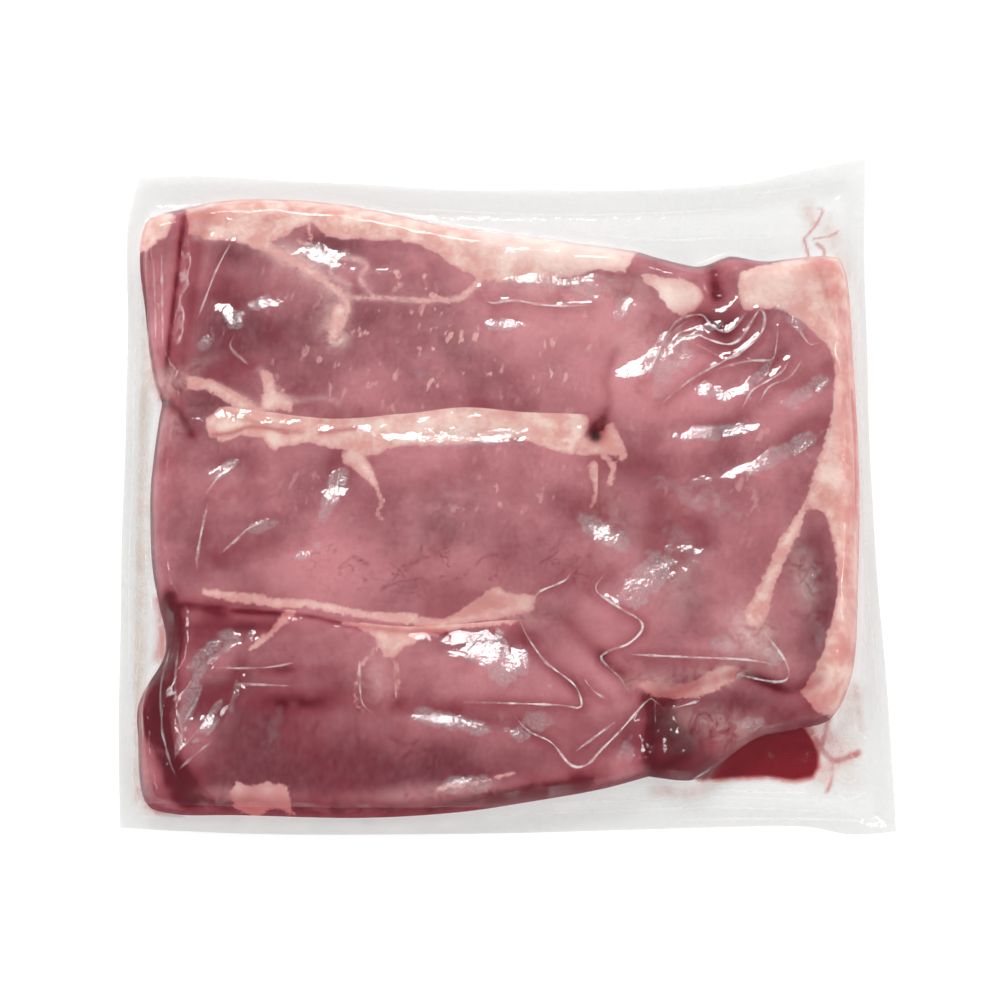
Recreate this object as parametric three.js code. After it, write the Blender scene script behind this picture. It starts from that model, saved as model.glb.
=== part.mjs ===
// A vacuum-sealed pouch of four raw beef strip steaks, lying flat with the label-free face up.
// Three steaks lie across the pouch one below the other, and the fourth stands beside them on
// the right. The clear film is drawn tight over them, dips into the seams between them, and
// runs out all round into a thin flat flange with a heat-sealed band.
// Millimetres, +X to the right, +Y to the far end, +Z up. The origin is the centre of the
// pouch's footprint, on the surface it lies on.
import * as THREE from "three";

// Driving sizes
const STEAK_HEIGHT = 19.5; // a steak's thickness, with the film over it
const FLANGE_HEIGHT = 1.4; // both films together beside the steaks
const SEAL_HEIGHT = 0.9; // both films pressed into one at the heat seal
const SIDE_SEAL = 5; // width of the seal at both sides and the near end
const MOUTH_SEAL = 10; // width of the seal that closes the far end
const SEAL_STEP = 1.5; // the seal's inner edge
const SHOULDER_OUT = 3; // the film starts to climb this far outside the steaks
const SHOULDER_IN = 10; // and has reached their full height this far inside
const SHOULDER_POWER = 2.4;
const CURL_REACH = 12; // the flange's edge curls up within this distance of the edge
const EDGE_WAVE = 0.6;
const WAVE_LENGTH = 62;
const CELL = 4.4; // spacing of the mesh over the steaks
const CURVE_STEP = 3; // spacing of the points on a sampled outline

// How far each corner of the flange curls up off the surface
const CORNER_CURL = { farLeft: 2.6, farRight: 5.5, nearRight: 3.6, nearLeft: 1.6 };

// The pouch's four cut edges. The contents draw the far edge in, so its corners stand out.
const POUCH = {
  far: [[-146, 128], [-126, 129], [-81, 127.5], [-20, 124], [25, 123.5], [66, 124], [98, 126], [123, 130.5], [149, 135]],
  right: [[150, -134], [150, -95], [148, -40], [147, 2], [147.5, 60], [148, 102], [149, 135]],
  near: [[-143, -132.5], [-113, -134], [-75, -135], [0, -134.5], [76, -132.5], [114, -132], [133, -135], [150, -134]],
  left: [[-143, -132.5], [-145, -100], [-147, -30], [-148, 50], [-150, 100], [-148.5, 117], [-146, 128]],
};

// Where the seams between the steaks meet the outline and each other
const JOINT = {
  leftAB: [-132, 32],
  leftBC: [-130, -49],
  farAD: [56, 94],
  middleABD: [42, 21.5],
  middleBCD: [26, -56],
  nearCD: [57, -113.5],
};

// The outline of the four steaks together, clockwise from the left end of the seam between A and B
const OUTLINE = [
  [JOINT.leftAB, [-136.5, 45], [-140, 69], [-143, 91], [-141, 106], [-132, 111], [-104, 116], [-64, 114], [-20, 105], [25, 98.5], JOINT.farAD],
  [JOINT.farAD, [78, 88], [92, 92], [107, 90], [131, 92], [138.5, 85], [140, 46], [140.5, 1], [138.5, -38], [135.5, -72], [127, -91], [114, -95.5], [98, -99], [82, -110], [73, -115], JOINT.nearCD],
  [JOINT.nearCD, [38, -118.5], [12, -123], [-16, -127], [-52, -129], [-97, -128], [-122, -127.5], [-133, -122], [-136, -100], [-136, -85], [-127, -66], JOINT.leftBC],
  [JOINT.leftBC, [-133.5, -31], [-135, -4], [-134, 13], JOINT.leftAB],
];

// Valleys that the film is sucked into: the seams between steaks, and folds in the meat itself
const VALLEYS = [
  { depth: 2.8, width: 4.2, points: [JOINT.leftAB, [-120, 28], [-107, 28], [-92, 26], [-65, 23], [-35, 25], [-13, 27.5], [11, 25.5], [36, 24.5], JOINT.middleABD] },
  { depth: 4.5, width: 4.6, points: [JOINT.farAD, [54.5, 78], [49, 58], [44, 43], [42, 31], JOINT.middleABD] },
  { depth: 3.4, width: 4.4, points: [JOINT.middleABD, [39, 11], [38, -8.5], [36, -32], [31, -47.5], JOINT.middleBCD] },
  { depth: 4.2, width: 4.6, points: [JOINT.leftBC, [-118, -47.5], [-98, -50.5], [-75, -52], [-58, -55.5], [-37, -58], [-16, -57], [4, -55.5], JOINT.middleBCD] },
  { depth: 4.8, width: 4.8, points: [JOINT.middleBCD, [38, -68.5], [53, -82], [59, -93], JOINT.nearCD] },
  { depth: 5, width: 4.4, points: [[-125, 109], [-126, 89], [-128.5, 60], [-130, 36]] }, // steak A's folded end
  { depth: 6, width: 4.8, points: [[-125, -48], [-123, -62], [-128, -81], [-126, -100], [-115, -122]] }, // steak C's folded end
  { depth: 3.4, width: 4.6, points: [[61, -85], [91, -76], [108, -82], [121, -78]] }, // steak D's tail
  { depth: 4, width: 5, points: [[84, 90], [86, 74]] }, // the notch in steak D's fat
];

// Broad swells and hollows: centre, reach and height
const SWELLS = [
  { at: [-50, 72], reach: [60, 26], height: 1.2 },
  { at: [-55, -12], reach: [55, 24], height: 1.4 },
  { at: [-60, -92], reach: [48, 22], height: 0.8 },
  { at: [95, 10], reach: [26, 60], height: 1.6 },
  { at: [98, -95], reach: [36, 14], height: -5.5 }, // steak D's thin tail
  { at: [62, -96], reach: [7, 12], height: -5 },
  { at: [-122, -88], reach: [16, 30], height: -1.8 },
  { at: [-134, 78], reach: [9, 34], height: -3.2 },
  { at: [30, -108], reach: [36, 12], height: -2.2 },
];

const smoothstep = (low, high, x) => {
  const t = THREE.MathUtils.clamp((x - low) / (high - low), 0, 1);
  return t * t * (3 - 2 * t);
};

// A smooth curve through the points, as evenly spaced points
function curve(points) {
  const spline = new THREE.SplineCurve(points.map(([x, y]) => new THREE.Vector2(x, y)));
  return spline.getSpacedPoints(Math.ceil(spline.getLength() / CURVE_STEP));
}

function distanceToLine(point, line) {
  const along = new THREE.Vector2();
  const from = new THREE.Vector2();
  let nearest = Infinity;
  for (let i = 1; i < line.length; i++) {
    along.subVectors(line[i], line[i - 1]);
    from.subVectors(point, line[i - 1]);
    const share = THREE.MathUtils.clamp(from.dot(along) / along.lengthSq(), 0, 1);
    nearest = Math.min(nearest, from.addScaledVector(along, -share).length());
  }
  return nearest;
}

function isInside(point, loop) {
  let inside = false;
  for (let i = 0, j = loop.length - 1; i < loop.length; j = i++) {
    const [a, b] = [loop[i], loop[j]];
    const crosses = a.y > point.y !== b.y > point.y;
    if (crosses && point.x < ((b.x - a.x) * (point.y - a.y)) / (b.y - a.y) + a.x) inside = !inside;
  }
  return inside;
}

const outline = OUTLINE.flatMap((part) => curve(part).slice(0, -1));
const closedOutline = [...outline, outline[0]];
const valleys = VALLEYS.map((valley) => ({ ...valley, line: curve(valley.points) }));

// How high the film stands over the flange, from the steaks under it
function contentHeight(point) {
  const toEdge = distanceToLine(point, closedOutline) * (isInside(point, outline) ? 1 : -1);
  const climb = THREE.MathUtils.clamp((toEdge + SHOULDER_OUT) / (SHOULDER_IN + SHOULDER_OUT), 0, 1);
  const shoulder = 1 - (1 - climb) ** SHOULDER_POWER;
  let height = STEAK_HEIGHT;
  for (const { at, reach, height: swell } of SWELLS) {
    const away = ((point.x - at[0]) / reach[0]) ** 2 + ((point.y - at[1]) / reach[1]) ** 2;
    height += swell * Math.exp(-away);
  }
  const dips = valleys.map(({ depth, width, line }) => depth * Math.exp(-((distanceToLine(point, line) / width) ** 2)));
  return (height - Math.max(...dips)) * shoulder;
}

// How far the flange has curled up off the surface at a point this far from the pouch's edge
function curl(u, v, point, toPouchEdge) {
  const far = THREE.MathUtils.lerp(CORNER_CURL.farLeft, CORNER_CURL.farRight, u);
  const near = THREE.MathUtils.lerp(CORNER_CURL.nearLeft, CORNER_CURL.nearRight, u);
  const corner = (2 * u - 1) ** 4 * (2 * v - 1) ** 4;
  const wave = EDGE_WAVE * (1 + Math.sin((2 * Math.PI * (point.x + point.y)) / WAVE_LENGTH));
  const atEdge = wave + THREE.MathUtils.lerp(near, far, v) * corner;
  return atEdge * (1 - smoothstep(0, CURL_REACH, toPouchEdge));
}

// Grid lines across one direction, as distances from the low edge: close together at the
// seals, then even over the steaks
function stations(length, lowSeal, highSeal) {
  const low = [0, lowSeal, lowSeal + SEAL_STEP];
  const high = [length - highSeal - SEAL_STEP, length - highSeal, length];
  const cells = Math.round((high[0] - low[2]) / CELL);
  const inner = Array.from({ length: cells - 1 }, (_, i) => THREE.MathUtils.lerp(low[2], high[0], (i + 1) / cells));
  return [...low, ...inner, ...high];
}

// The point of the pouch at shares u across and v along, blended from its four edges
function pouchPoint(u, v, edges) {
  const { far, right, near, left } = edges;
  const rows = near.getPointAt(u).lerp(far.getPointAt(u), v);
  const columns = left.getPointAt(v).lerp(right.getPointAt(v), u);
  const nearCorners = near.getPointAt(0).lerp(near.getPointAt(1), u);
  const farCorners = far.getPointAt(0).lerp(far.getPointAt(1), u);
  return rows.add(columns).sub(nearCorners.lerp(farCorners, v));
}

function pouchGeometry() {
  const edges = Object.fromEntries(
    Object.entries(POUCH).map(([side, points]) => [side, new THREE.SplineCurve(points.map(([x, y]) => new THREE.Vector2(x, y)))]),
  );
  const width = edges.near.getLength();
  const depth = edges.left.getLength();
  const across = stations(width, SIDE_SEAL, SIDE_SEAL);
  const along = stations(depth, SIDE_SEAL, MOUTH_SEAL);
  const [columns, rows] = [across.length, along.length];
  const positions = [];
  const bottomStart = columns * rows;
  const bottoms = [];
  for (const fromNear of along) {
    for (const fromLeft of across) {
      const [u, v] = [fromLeft / width, fromNear / depth];
      const point = pouchPoint(u, v, edges);
      const toSide = Math.min(fromLeft, width - fromLeft) - SIDE_SEAL;
      const toEnd = Math.min(fromNear - SIDE_SEAL, depth - fromNear - MOUTH_SEAL);
      const toSeal = Math.min(toSide, toEnd);
      const toPouchEdge = Math.min(fromLeft, width - fromLeft, fromNear, depth - fromNear);
      const base = curl(u, v, point, toPouchEdge);
      const sealed = toSeal <= 0;
      const film = sealed ? SEAL_HEIGHT : FLANGE_HEIGHT;
      const content = sealed ? 0 : contentHeight(point);
      positions.push(point.x, point.y, base + film + content);
      bottoms.push(point.x, point.y, base);
    }
  }
  positions.push(...bottoms);

  const indices = [];
  const heightOf = (vertex) => positions[3 * vertex + 2];
  // Two triangles, split along the diagonal that keeps the level, so that seams stay smooth
  const quad = (a, b, c, d) => {
    const level = Math.abs(heightOf(a) - heightOf(c)) <= Math.abs(heightOf(b) - heightOf(d));
    indices.push(...(level ? [a, b, c, a, c, d] : [a, b, d, b, c, d]));
  };
  const flatFrom = Math.ceil(CURL_REACH / CELL) + 2; // grid lines from the edge to where the base is flat
  for (let j = 0; j < rows - 1; j++) {
    for (let i = 0; i < columns - 1; i++) {
      const at = j * columns + i;
      quad(at, at + 1, at + 1 + columns, at + columns);
      const fromEdge = Math.min(i, columns - 2 - i, j, rows - 2 - j);
      if (fromEdge < flatFrom) {
        const under = bottomStart + at;
        quad(under, under + columns, under + 1 + columns, under + 1);
      }
    }
  }

  // The loop of grid points that lies this many lines in from the edge, counterclockwise
  const loopAt = (inset) => {
    const [left, right, near, far] = [inset, columns - 1 - inset, inset, rows - 1 - inset];
    const loop = [];
    for (let i = left; i < right; i++) loop.push(near * columns + i);
    for (let j = near; j < far; j++) loop.push(j * columns + right);
    for (let i = right; i > left; i--) loop.push(far * columns + i);
    for (let j = far; j > near; j--) loop.push(j * columns + left);
    return loop;
  };
  const rim = loopAt(0);
  rim.forEach((a, i) => {
    const b = rim[(i + 1) % rim.length];
    quad(bottomStart + a, bottomStart + b, b, a);
  });
  const flat = loopAt(flatFrom);
  const flatPoints = flat.map((a) => new THREE.Vector2(positions[3 * a], positions[3 * a + 1]));
  for (const [a, b, c] of THREE.ShapeUtils.triangulateShape(flatPoints, [])) {
    indices.push(bottomStart + flat[a], bottomStart + flat[c], bottomStart + flat[b]);
  }

  const geometry = new THREE.BufferGeometry();
  geometry.setAttribute("position", new THREE.Float32BufferAttribute(positions, 3));
  geometry.setIndex(indices);
  geometry.computeVertexNormals();
  return geometry;
}

const packMaterial = new THREE.MeshStandardMaterial({ color: 0xaa5f68, roughness: 0.28, metalness: 0 });
const pack = new THREE.Mesh(pouchGeometry(), packMaterial);
pack.name = "steak_vacuum_pouch";

const model = new THREE.Group();
model.name = "vacuum_pack_of_steaks";
model.add(pack);

export default model;
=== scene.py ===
"""The looks of a vacuum pack of beef steaks: clear film drawn tight over four raw steaks, lying flat.

Sizes and places are in millimetres in the pack's own frame, and each mesh is made in metres.
"""
import math

import bpy
import numpy as np
from mathutils.geometry import tessellate_polygon
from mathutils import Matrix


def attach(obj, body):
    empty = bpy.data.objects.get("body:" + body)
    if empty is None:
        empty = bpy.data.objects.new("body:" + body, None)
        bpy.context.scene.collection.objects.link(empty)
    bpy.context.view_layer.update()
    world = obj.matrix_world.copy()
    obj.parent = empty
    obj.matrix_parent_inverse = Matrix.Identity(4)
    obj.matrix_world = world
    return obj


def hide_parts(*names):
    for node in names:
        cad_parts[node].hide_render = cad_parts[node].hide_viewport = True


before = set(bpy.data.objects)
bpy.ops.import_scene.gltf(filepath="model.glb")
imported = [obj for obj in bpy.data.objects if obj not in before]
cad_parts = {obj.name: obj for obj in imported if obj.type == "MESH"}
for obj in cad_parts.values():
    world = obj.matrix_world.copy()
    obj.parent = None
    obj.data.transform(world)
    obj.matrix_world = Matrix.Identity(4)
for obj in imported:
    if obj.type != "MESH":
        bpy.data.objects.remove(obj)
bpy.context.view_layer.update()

MM = 0.001
NODE = "steak_vacuum_pouch"

# Driving sizes, the same as the solid's
STEAK_HEIGHT = 19.5
FLANGE_HEIGHT = 1.4
SEAL_HEIGHT = 0.9
SIDE_SEAL = 5.0
MOUTH_SEAL = 10.0
SHOULDER_OUT = 3.0
SHOULDER_IN = 10.0
SHOULDER_POWER = 2.4
CURL_REACH = 12.0
EDGE_WAVE = 0.6
WAVE_LENGTH = 62.0
CORNER_CURL = {"far_left": 2.6, "far_right": 5.5, "near_right": 3.6, "near_left": 1.6}

# Sizes of the looks
FILM_STEP = 0.95
BACK_STEP = 3.0
STEAK_STEP = 1.05
FILM_GAP = 0.35
BACK_HEIGHT = 0.12
JUICE_STEP = 0.8
JUICE_HEIGHT = 0.5
THINNEST_JUICE = 0.02
FOLD_STEP = 0.9
EDGE_REACH = 16
FAT_REACH = 6
RASTER_STEP = 0.5
RASTER_LOW = (-157.0, -142.0)
RASTER_HIGH = (157.0, 142.0)
SEED = 11
FILM_GLOSS = 0.11
BACK_GLOSS = 0.03
SHARP_ANGLE = 55.0
SEAL_SOFT = 5.0

# The pouch's four cut edges
POUCH = {
    "far": [(-146, 128), (-126, 129), (-81, 127.5), (-20, 124), (25, 123.5), (66, 124), (98, 126),
            (123, 130.5), (149, 135)],
    "right": [(150, -134), (150, -95), (148, -40), (147, 2), (147.5, 60), (148, 102), (149, 135)],
    "near": [(-143, -132.5), (-113, -134), (-75, -135), (0, -134.5), (76, -132.5), (114, -132),
             (133, -135), (150, -134)],
    "left": [(-143, -132.5), (-145, -100), (-147, -30), (-148, 50), (-150, 100), (-148.5, 117),
             (-146, 128)],
}

# Where the seams between steaks A, B, C and D meet the outline and each other
LEFT_AB = (-132, 32)
LEFT_BC = (-130, -49)
FAR_AD = (56, 94)
MIDDLE_ABD = (42, 21.5)
MIDDLE_BCD = (26, -56)
NEAR_CD = (57, -113.5)

# The outline of the four steaks together, clockwise, in four stretches
OUTLINE_A = [LEFT_AB, (-136.5, 45), (-140, 69), (-143, 91), (-141, 106), (-132, 111), (-104, 116),
             (-64, 114), (-20, 105), (25, 98.5), FAR_AD]
OUTLINE_D = [FAR_AD, (78, 88), (92, 92), (107, 90), (131, 92), (138.5, 85), (140, 46), (140.5, 1),
             (138.5, -38), (135.5, -72), (127, -91), (114, -95.5), (98, -99), (82, -110), (73, -115),
             NEAR_CD]
OUTLINE_C = [NEAR_CD, (38, -118.5), (12, -123), (-16, -127), (-52, -129), (-97, -128), (-122, -127.5),
             (-133, -122), (-136, -100), (-136, -85), (-127, -66), LEFT_BC]
OUTLINE_B = [LEFT_BC, (-133.5, -31), (-135, -4), (-134, 13), LEFT_AB]
CORNER_A = (-141, 106)
CORNER_C = (-133, -122)
CORNER_D_FAR = (138.5, 85)
CORNER_D_NEAR = (127, -91)

SEAM_AB = [LEFT_AB, (-120, 28), (-107, 28), (-92, 26), (-65, 23), (-35, 25), (-13, 27.5), (11, 25.5),
           (36, 24.5), MIDDLE_ABD]
SEAM_AD = [FAR_AD, (54.5, 78), (49, 58), (44, 43), (42, 31), MIDDLE_ABD]
SEAM_BD = [MIDDLE_ABD, (39, 11), (38, -8.5), (36, -32), (31, -47.5), MIDDLE_BCD]
SEAM_BC = [LEFT_BC, (-118, -47.5), (-98, -50.5), (-75, -52), (-58, -55.5), (-37, -58), (-16, -57),
           (4, -55.5), MIDDLE_BCD]
SEAM_CD = [MIDDLE_BCD, (38, -68.5), (53, -82), (59, -93), NEAR_CD]
FOLD_A = [(-125, 109), (-126, 89), (-128.5, 60), (-130, 36)]
FOLD_C = [(-125, -48), (-123, -62), (-128, -81), (-126, -100), (-115, -122)]
TAIL_D = [(61, -85), (91, -76), (108, -82), (121, -78)]
NOTCH_D = [(84, 90), (86, 74)]

# Valleys that the film is sucked into: depth, width and line
VALLEYS = [
    (1.1, 5.0, SEAM_AB), (0.5, 6.0, SEAM_AD), (0.6, 6.0, SEAM_BD), (1.3, 5.0, SEAM_BC), (1.0, 6.5, SEAM_CD),
    (1.8, 6.0, FOLD_A), (3.0, 6.0, FOLD_C), (2.2, 5.0, TAIL_D), (3.0, 6.0, NOTCH_D),
]

# The pit where three steaks meet: its place and reach
PIT = (37.5, 16.0)
PIT_REACH = 2.6

# Broad swells and hollows: x, y, reach across, reach along and height
SWELLS = [
    (-50, 72, 60, 26, 1.2), (-55, -12, 55, 24, 1.4), (-60, -92, 48, 22, 0.8), (95, 10, 26, 60, 1.6),
    (98, -95, 36, 14, -5.5), (62, -96, 7, 12, -5.0), (-122, -88, 16, 30, -1.8), (-134, 78, 9, 34, -3.2),
    (30, -108, 36, 12, -2.2),
]

# Creases where the slack film stands up in a sharp fold: height, half width and line
CREASES = [
    (1.1, 1.2, [(63, 51), (69, 61), (75, 64), (80, 64), (83, 60), (88, 57), (92, 59), (97, 65), (102, 67)]),
    (1.1, 1.2, [(68, 48), (71, 55), (77, 56), (82, 54), (89, 52), (94, 54), (98, 60), (102, 66), (104, 63),
        (102, 56), (96, 50), (89, 46), (81, 50), (74, 54)]),
    (1.2, 1.2, [(101, 54), (89, 46), (75, 38), (63, 28)]),
    (0.8, 1.2, [(85, 42), (96, 45), (106, 46), (108, 51), (109, 59)]),
    (0.8, 1.1, [(117, 58), (121, 52), (125, 53)]),
    (1.0, 1.2, [(94, 26), (98, 33), (104, 37), (110, 41), (113, 46)]),
    (0.6, 1.3, [(101, 29), (105, 35), (113, 39), (118, 46)]),
    (1.2, 1.2, [(42, -37), (37, -44), (45, -51), (53, -56), (54, -60), (49, -65), (41, -68), (39, -71),
        (46, -78), (48, -83)]),
    (1.0, 1.1, [(28, -37), (25, -41), (16, -45), (13, -49)]),
    (1.4, 1.2, [(8, -55), (11, -62), (18, -72), (28, -80), (31, -86), (30, -89), (21, -88), (-14, -87)]),
    (1.1, 1.2, [(6, -89), (7, -93), (12, -98), (20, -102), (27, -110), (33, -110), (38, -105), (46, -97),
        (56, -86), (59, -86), (63, -89)]),
    (0.9, 1.1, [(29, -105), (33, -102), (44, -94)]), (0.8, 1.1, [(32, -78), (36, -83), (41, -86)]),
    (0.9, 1.1, [(49, -69), (72, -70), (94, -71), (104, -73)]),
    (1.2, 1.2, [(99, -59), (107, -70), (109, -77), (104, -79), (89, -76)]),
    (0.9, 1.1, [(76, -86), (65, -89)]), (1.0, 1.2, [(81, -110), (72, -116)]),
    (1.0, 1.3, [(-7, 75), (-3, 69), (6, 70), (19, 68), (36, 68)]),
    (0.6, 1.3, [(57, 37), (65, 54), (75, 63)]), (0.8, 1.1, [(-117, 63), (-111, 81), (-105, 94)]),
    (0.8, 1.0, [(-102, 56), (-104, 51), (-97, 44)]), (0.9, 1.1, [(-111, -12), (-114, -30), (-114, -37)]),
    (0.9, 1.1, [(-88, -18), (-95, -21), (-99, -25), (-106, -31)]), (0.6, 1.1, [(-105, 2), (-112, -8)]),
    (0.5, 1.1, [(-133, 92), (-131, 51)]), (0.4, 1.1, [(-136, 88), (-134, 52)]),
    (0.5, 1.1, [(-106, -74), (-88, -74), (-76, -72)]), (0.4, 1.1, [(-99, -80), (-76, -81)]),
    (0.3, 1.0, [(-119, -112), (-106, -101)]), (0.3, 1.0, [(-118, -105), (-107, -92)]),
    (0.3, 1.0, [(-118, -96), (-112, -84)]), (0.8, 1.0, [(-52, -71), (-51, -86), (-47, -91)]),
    (0.2, 1.0, [(-128, -56), (-131, -72), (-134, -86), (-133, -104)]),
    (0.15, 1.0, [(-124, -60), (-127, -80), (-125, -100), (-119, -116)]),
    (0.25, 1.0, [(-121, -66), (-121, -84), (-117, -100)]), (0.8, 1.0, [(-39, -71), (-38, -86)]),
]

# Faint folds and seal lines in the flat film round the steaks, drawn as pale ridges that are partly painted
# highlight
FLANGE_FOLDS = [
    [(-20, -130.5), (1, -128), (49, -126), (88, -125), (136, -127)],
    [(10, -124.5), (49, -122), (88, -121), (136, -123)],
    [(47, -117), (75, -117.5), (98, -119), (137, -120)], [(60, -130), (100, -129), (146, -130)],
    [(148, 120), (144.5, 76), (144, 33), (143.5, -5), (144, -46), (146, -86), (146, -122)],
    [(141, 96), (142.5, 60), (142, 20), (141.5, -30), (141.5, -66), (139, -100)],
    [(-143, 100), (-145, 60), (-144, 12), (-143.5, -40), (-141, -90), (-139, -122)],
    [(-140.5, 40), (-138.5, 0), (-137, -40), (-139, -70), (-139.5, -105)],
    [(25, 106), (35, 105), (52, 103), (73, 102), (89, 103), (104, 103), (124, 104)],
    [(-142, 117), (-100, 118.5), (-40, 115.5), (20, 113), (60, 113.5), (100, 116), (138, 122)],
    [(100, 121), (120, 124), (136, 127)], [(128, -112), (134, -116), (138, -112)],
    [(131, -98), (137, -96), (142, -100)], [(127, -118), (133, -122), (141, -118)],
    [(134, -104), (139, -109), (144, -106)],
]

# Slack patches of film that catch the light: x, y, length, width, strength and turn
CRUMPLES = [
    (118, 32, 15, 3.5, 1.0, 38), (109, 8, 18, 4, 1.0, 32), (82, 33, 8, 4, 1.0, -25),
    (82, 17, 15, 4, 1.0, 8), (68, 44, 9, 4, 0.8, 30), (48, 67, 9, 3.5, 0.8, 70), (115, 63, 9, 4, 0.8, -45),
    (18, 78, 15, 2.5, 0.8, -3), (2, 60, 7, 2.5, 1.0, 5), (57, -40, 15, 7.5, 1.0, 50),
    (41, -23, 13, 5, 0.85, -38), (-1, -69, 15, 9, 1.0, -35), (15, -94, 6, 4, 0.8), (104, -70, 4.5, 4, 0.8),
    (84, -65, 4.5, 4, 0.7), (121, -62, 8, 3, 0.45, 90), (115, -29, 5, 3, 0.4, -20),
    (95, -94, 6, 2.5, 1.0, 3), (48, -105, 6, 3, 0.8, 70), (8, -99, 8, 3, 1.0, -12),
    (-17, -94, 16, 3.5, 1.0, -13), (-72, -30, 7, 3, 1.0, 40), (-63, -8, 12, 4, 0.9, 75),
    (-106, -66, 13, 5, 1.0, 40), (-116, -88, 11, 4, 1.0, 75), (-108, -94, 9, 3, 1.0, 60),
    (-83, -95, 7, 3, 0.4, 80), (-90, -20, 7, 2.5, 0.8, 15), (-16, -8, 9, 7, 0.25),
    (-11, -117, 12, 3.5, 0.8, 5), (-103, 63, 7, 4, 1.0, -60), (-92, 69, 6, 3, 1.0, 20),
    (-13, 15, 27, 4, 0.65, 2), (-69, 88, 8, 5.5, 0.6, -30), (-114, 52, 4, 3.5, 0.7),
    (-105, 2, 7, 2.5, 0.7, 45), (66, 50, 12, 6, 0.6, 50), (64, 36, 7, 4, 0.6, 40),
    (118, -42, 9, 3.5, 0.6, 75), (30, 80, 18, 3, 0.6, -5), (74, -8, 20, 5, 0.55, -25),
    (70, -26, 14, 5, 0.5, -60), (100, 38, 11, 2.2, 0.9, 45), (63, 48, 13, 3, 0.8, 48),
    (80, 58, 10, 2.5, 0.8, 20), (-112, -76, 9, 1.8, 0.9, 60), (-118, -101, 8, 1.7, 0.9, 70),
    (-99, -86, 7, 1.7, 0.7, 80), (-95, -62, 8, 2, 0.8, 30), (-30, 40, 9, 2, 0.5, -10),
    (38, 73, 5, 3.5, 0.7), (77, -2, 5, 2.5, 0.5), (-60, 108, 30, 3, 0.5, -4),
]
CRUMPLE_TILT = 0.27
CRUMPLE_FALL = 0.00098


def spline(points, step=1.5):
    """A smooth curve through the points, at about even steps."""
    p = np.array(points, float)
    p = np.vstack([p[:1], p, p[-1:]])
    parts = []
    for a, b, c, d in zip(p[:-3], p[1:-2], p[2:-1], p[3:]):
        count = max(1, math.ceil(np.linalg.norm(c - b) / step))
        t = (np.arange(count) / count)[:, None]
        parts.append(0.5 * (2 * b + (c - a) * t + (2 * a - 5 * b + 4 * c - d) * t**2
                            + (3 * b - a - 3 * c + d) * t**3))
    return np.vstack([*parts, p[-1:]])


def lengths(line):
    """How far along a line each of its points is."""
    return np.concatenate([[0], np.cumsum(np.linalg.norm(np.diff(line, axis=0), axis=1))])


def at_shares(line, shares):
    """The points at these shares of a line's length."""
    length = lengths(line)
    return np.stack([np.interp(shares, length / length[-1], line[:, axis]) for axis in (0, 1)], axis=1)


def split(line, corner):
    """A line in two, cut at its point nearest the corner."""
    at = int(np.argmin(np.linalg.norm(line - np.array(corner, float), axis=1)))
    return line[: at + 1], line[at:]


def patch(near, far, left, right, us, vs):
    """The grid of points blended from four sides, at shares us across and vs along."""
    near, far = at_shares(near, us), at_shares(far, us)
    left, right = at_shares(left, vs), at_shares(right, vs)
    u, v = us[None, :, None], vs[:, None, None]
    rows = near[None] * (1 - v) + far[None] * v
    columns = left[:, None] * (1 - u) + right[:, None] * u
    low = near[0] * (1 - u) + near[-1] * u
    high = far[0] * (1 - u) + far[-1] * u
    return rows + columns - low * (1 - v) - high * v


# Rasters of the whole footprint, for distances and masks that meshes then sample
RASTER_X, RASTER_Y = np.meshgrid(
    np.arange(RASTER_LOW[0], RASTER_HIGH[0], RASTER_STEP),
    np.arange(RASTER_LOW[1], RASTER_HIGH[1], RASTER_STEP),
)
ROWS, COLUMNS = RASTER_X.shape


def window(a, b, reach):
    """The raster's rows and columns within reach of a segment."""
    low = (np.minimum(a, b) - reach - RASTER_LOW) / RASTER_STEP
    high = (np.maximum(a, b) + reach - RASTER_LOW) / RASTER_STEP
    (i0, j0), (i1, j1) = np.floor(low).astype(int), np.ceil(high).astype(int) + 1
    return slice(max(j0, 0), max(j1, 0)), slice(max(i0, 0), max(i1, 0))


def nearest(line, reach):
    """The distance to a line, up to reach, and how far along the line the nearest point is."""
    field, place = np.full(RASTER_X.shape, float(reach)), np.zeros(RASTER_X.shape)
    start = 0.0
    for a, b in zip(line[:-1], line[1:]):
        rows, columns = window(a, b, reach)
        x, y = RASTER_X[rows, columns] - a[0], RASTER_Y[rows, columns] - a[1]
        along = b - a
        t = np.clip((x * along[0] + y * along[1]) / max(along @ along, 1e-9), 0, 1)
        away = np.hypot(x - t * along[0], y - t * along[1])
        closer = away < field[rows, columns]
        field[rows, columns][closer] = away[closer]
        place[rows, columns][closer] = (start + t * np.linalg.norm(along))[closer]
        start += np.linalg.norm(along)
    return field, place


def distance(line, reach):
    return nearest(line, reach)[0]


def inside(loop):
    """True where the raster lies inside a closed loop."""
    mask = np.zeros(RASTER_X.shape, bool)
    for a, b in zip(loop, np.roll(loop, -1, axis=0)):
        low, high = sorted((a[1], b[1]))
        first = math.ceil((low - RASTER_LOW[1]) / RASTER_STEP)
        for row in range(first, math.ceil((high - RASTER_LOW[1]) / RASTER_STEP)):
            y = RASTER_LOW[1] + row * RASTER_STEP
            x = a[0] + (y - a[1]) * (b[0] - a[0]) / (b[1] - a[1])
            mask[row, max(0, math.ceil((x - RASTER_LOW[0]) / RASTER_STEP)):] ^= True
    return mask


def signed(loop, reach):
    """The distance to a closed loop, positive inside it."""
    loop = np.array(loop, float)
    away = distance(np.vstack([loop, loop[:1]]), reach)
    return np.where(inside(loop), away, -away)


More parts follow.
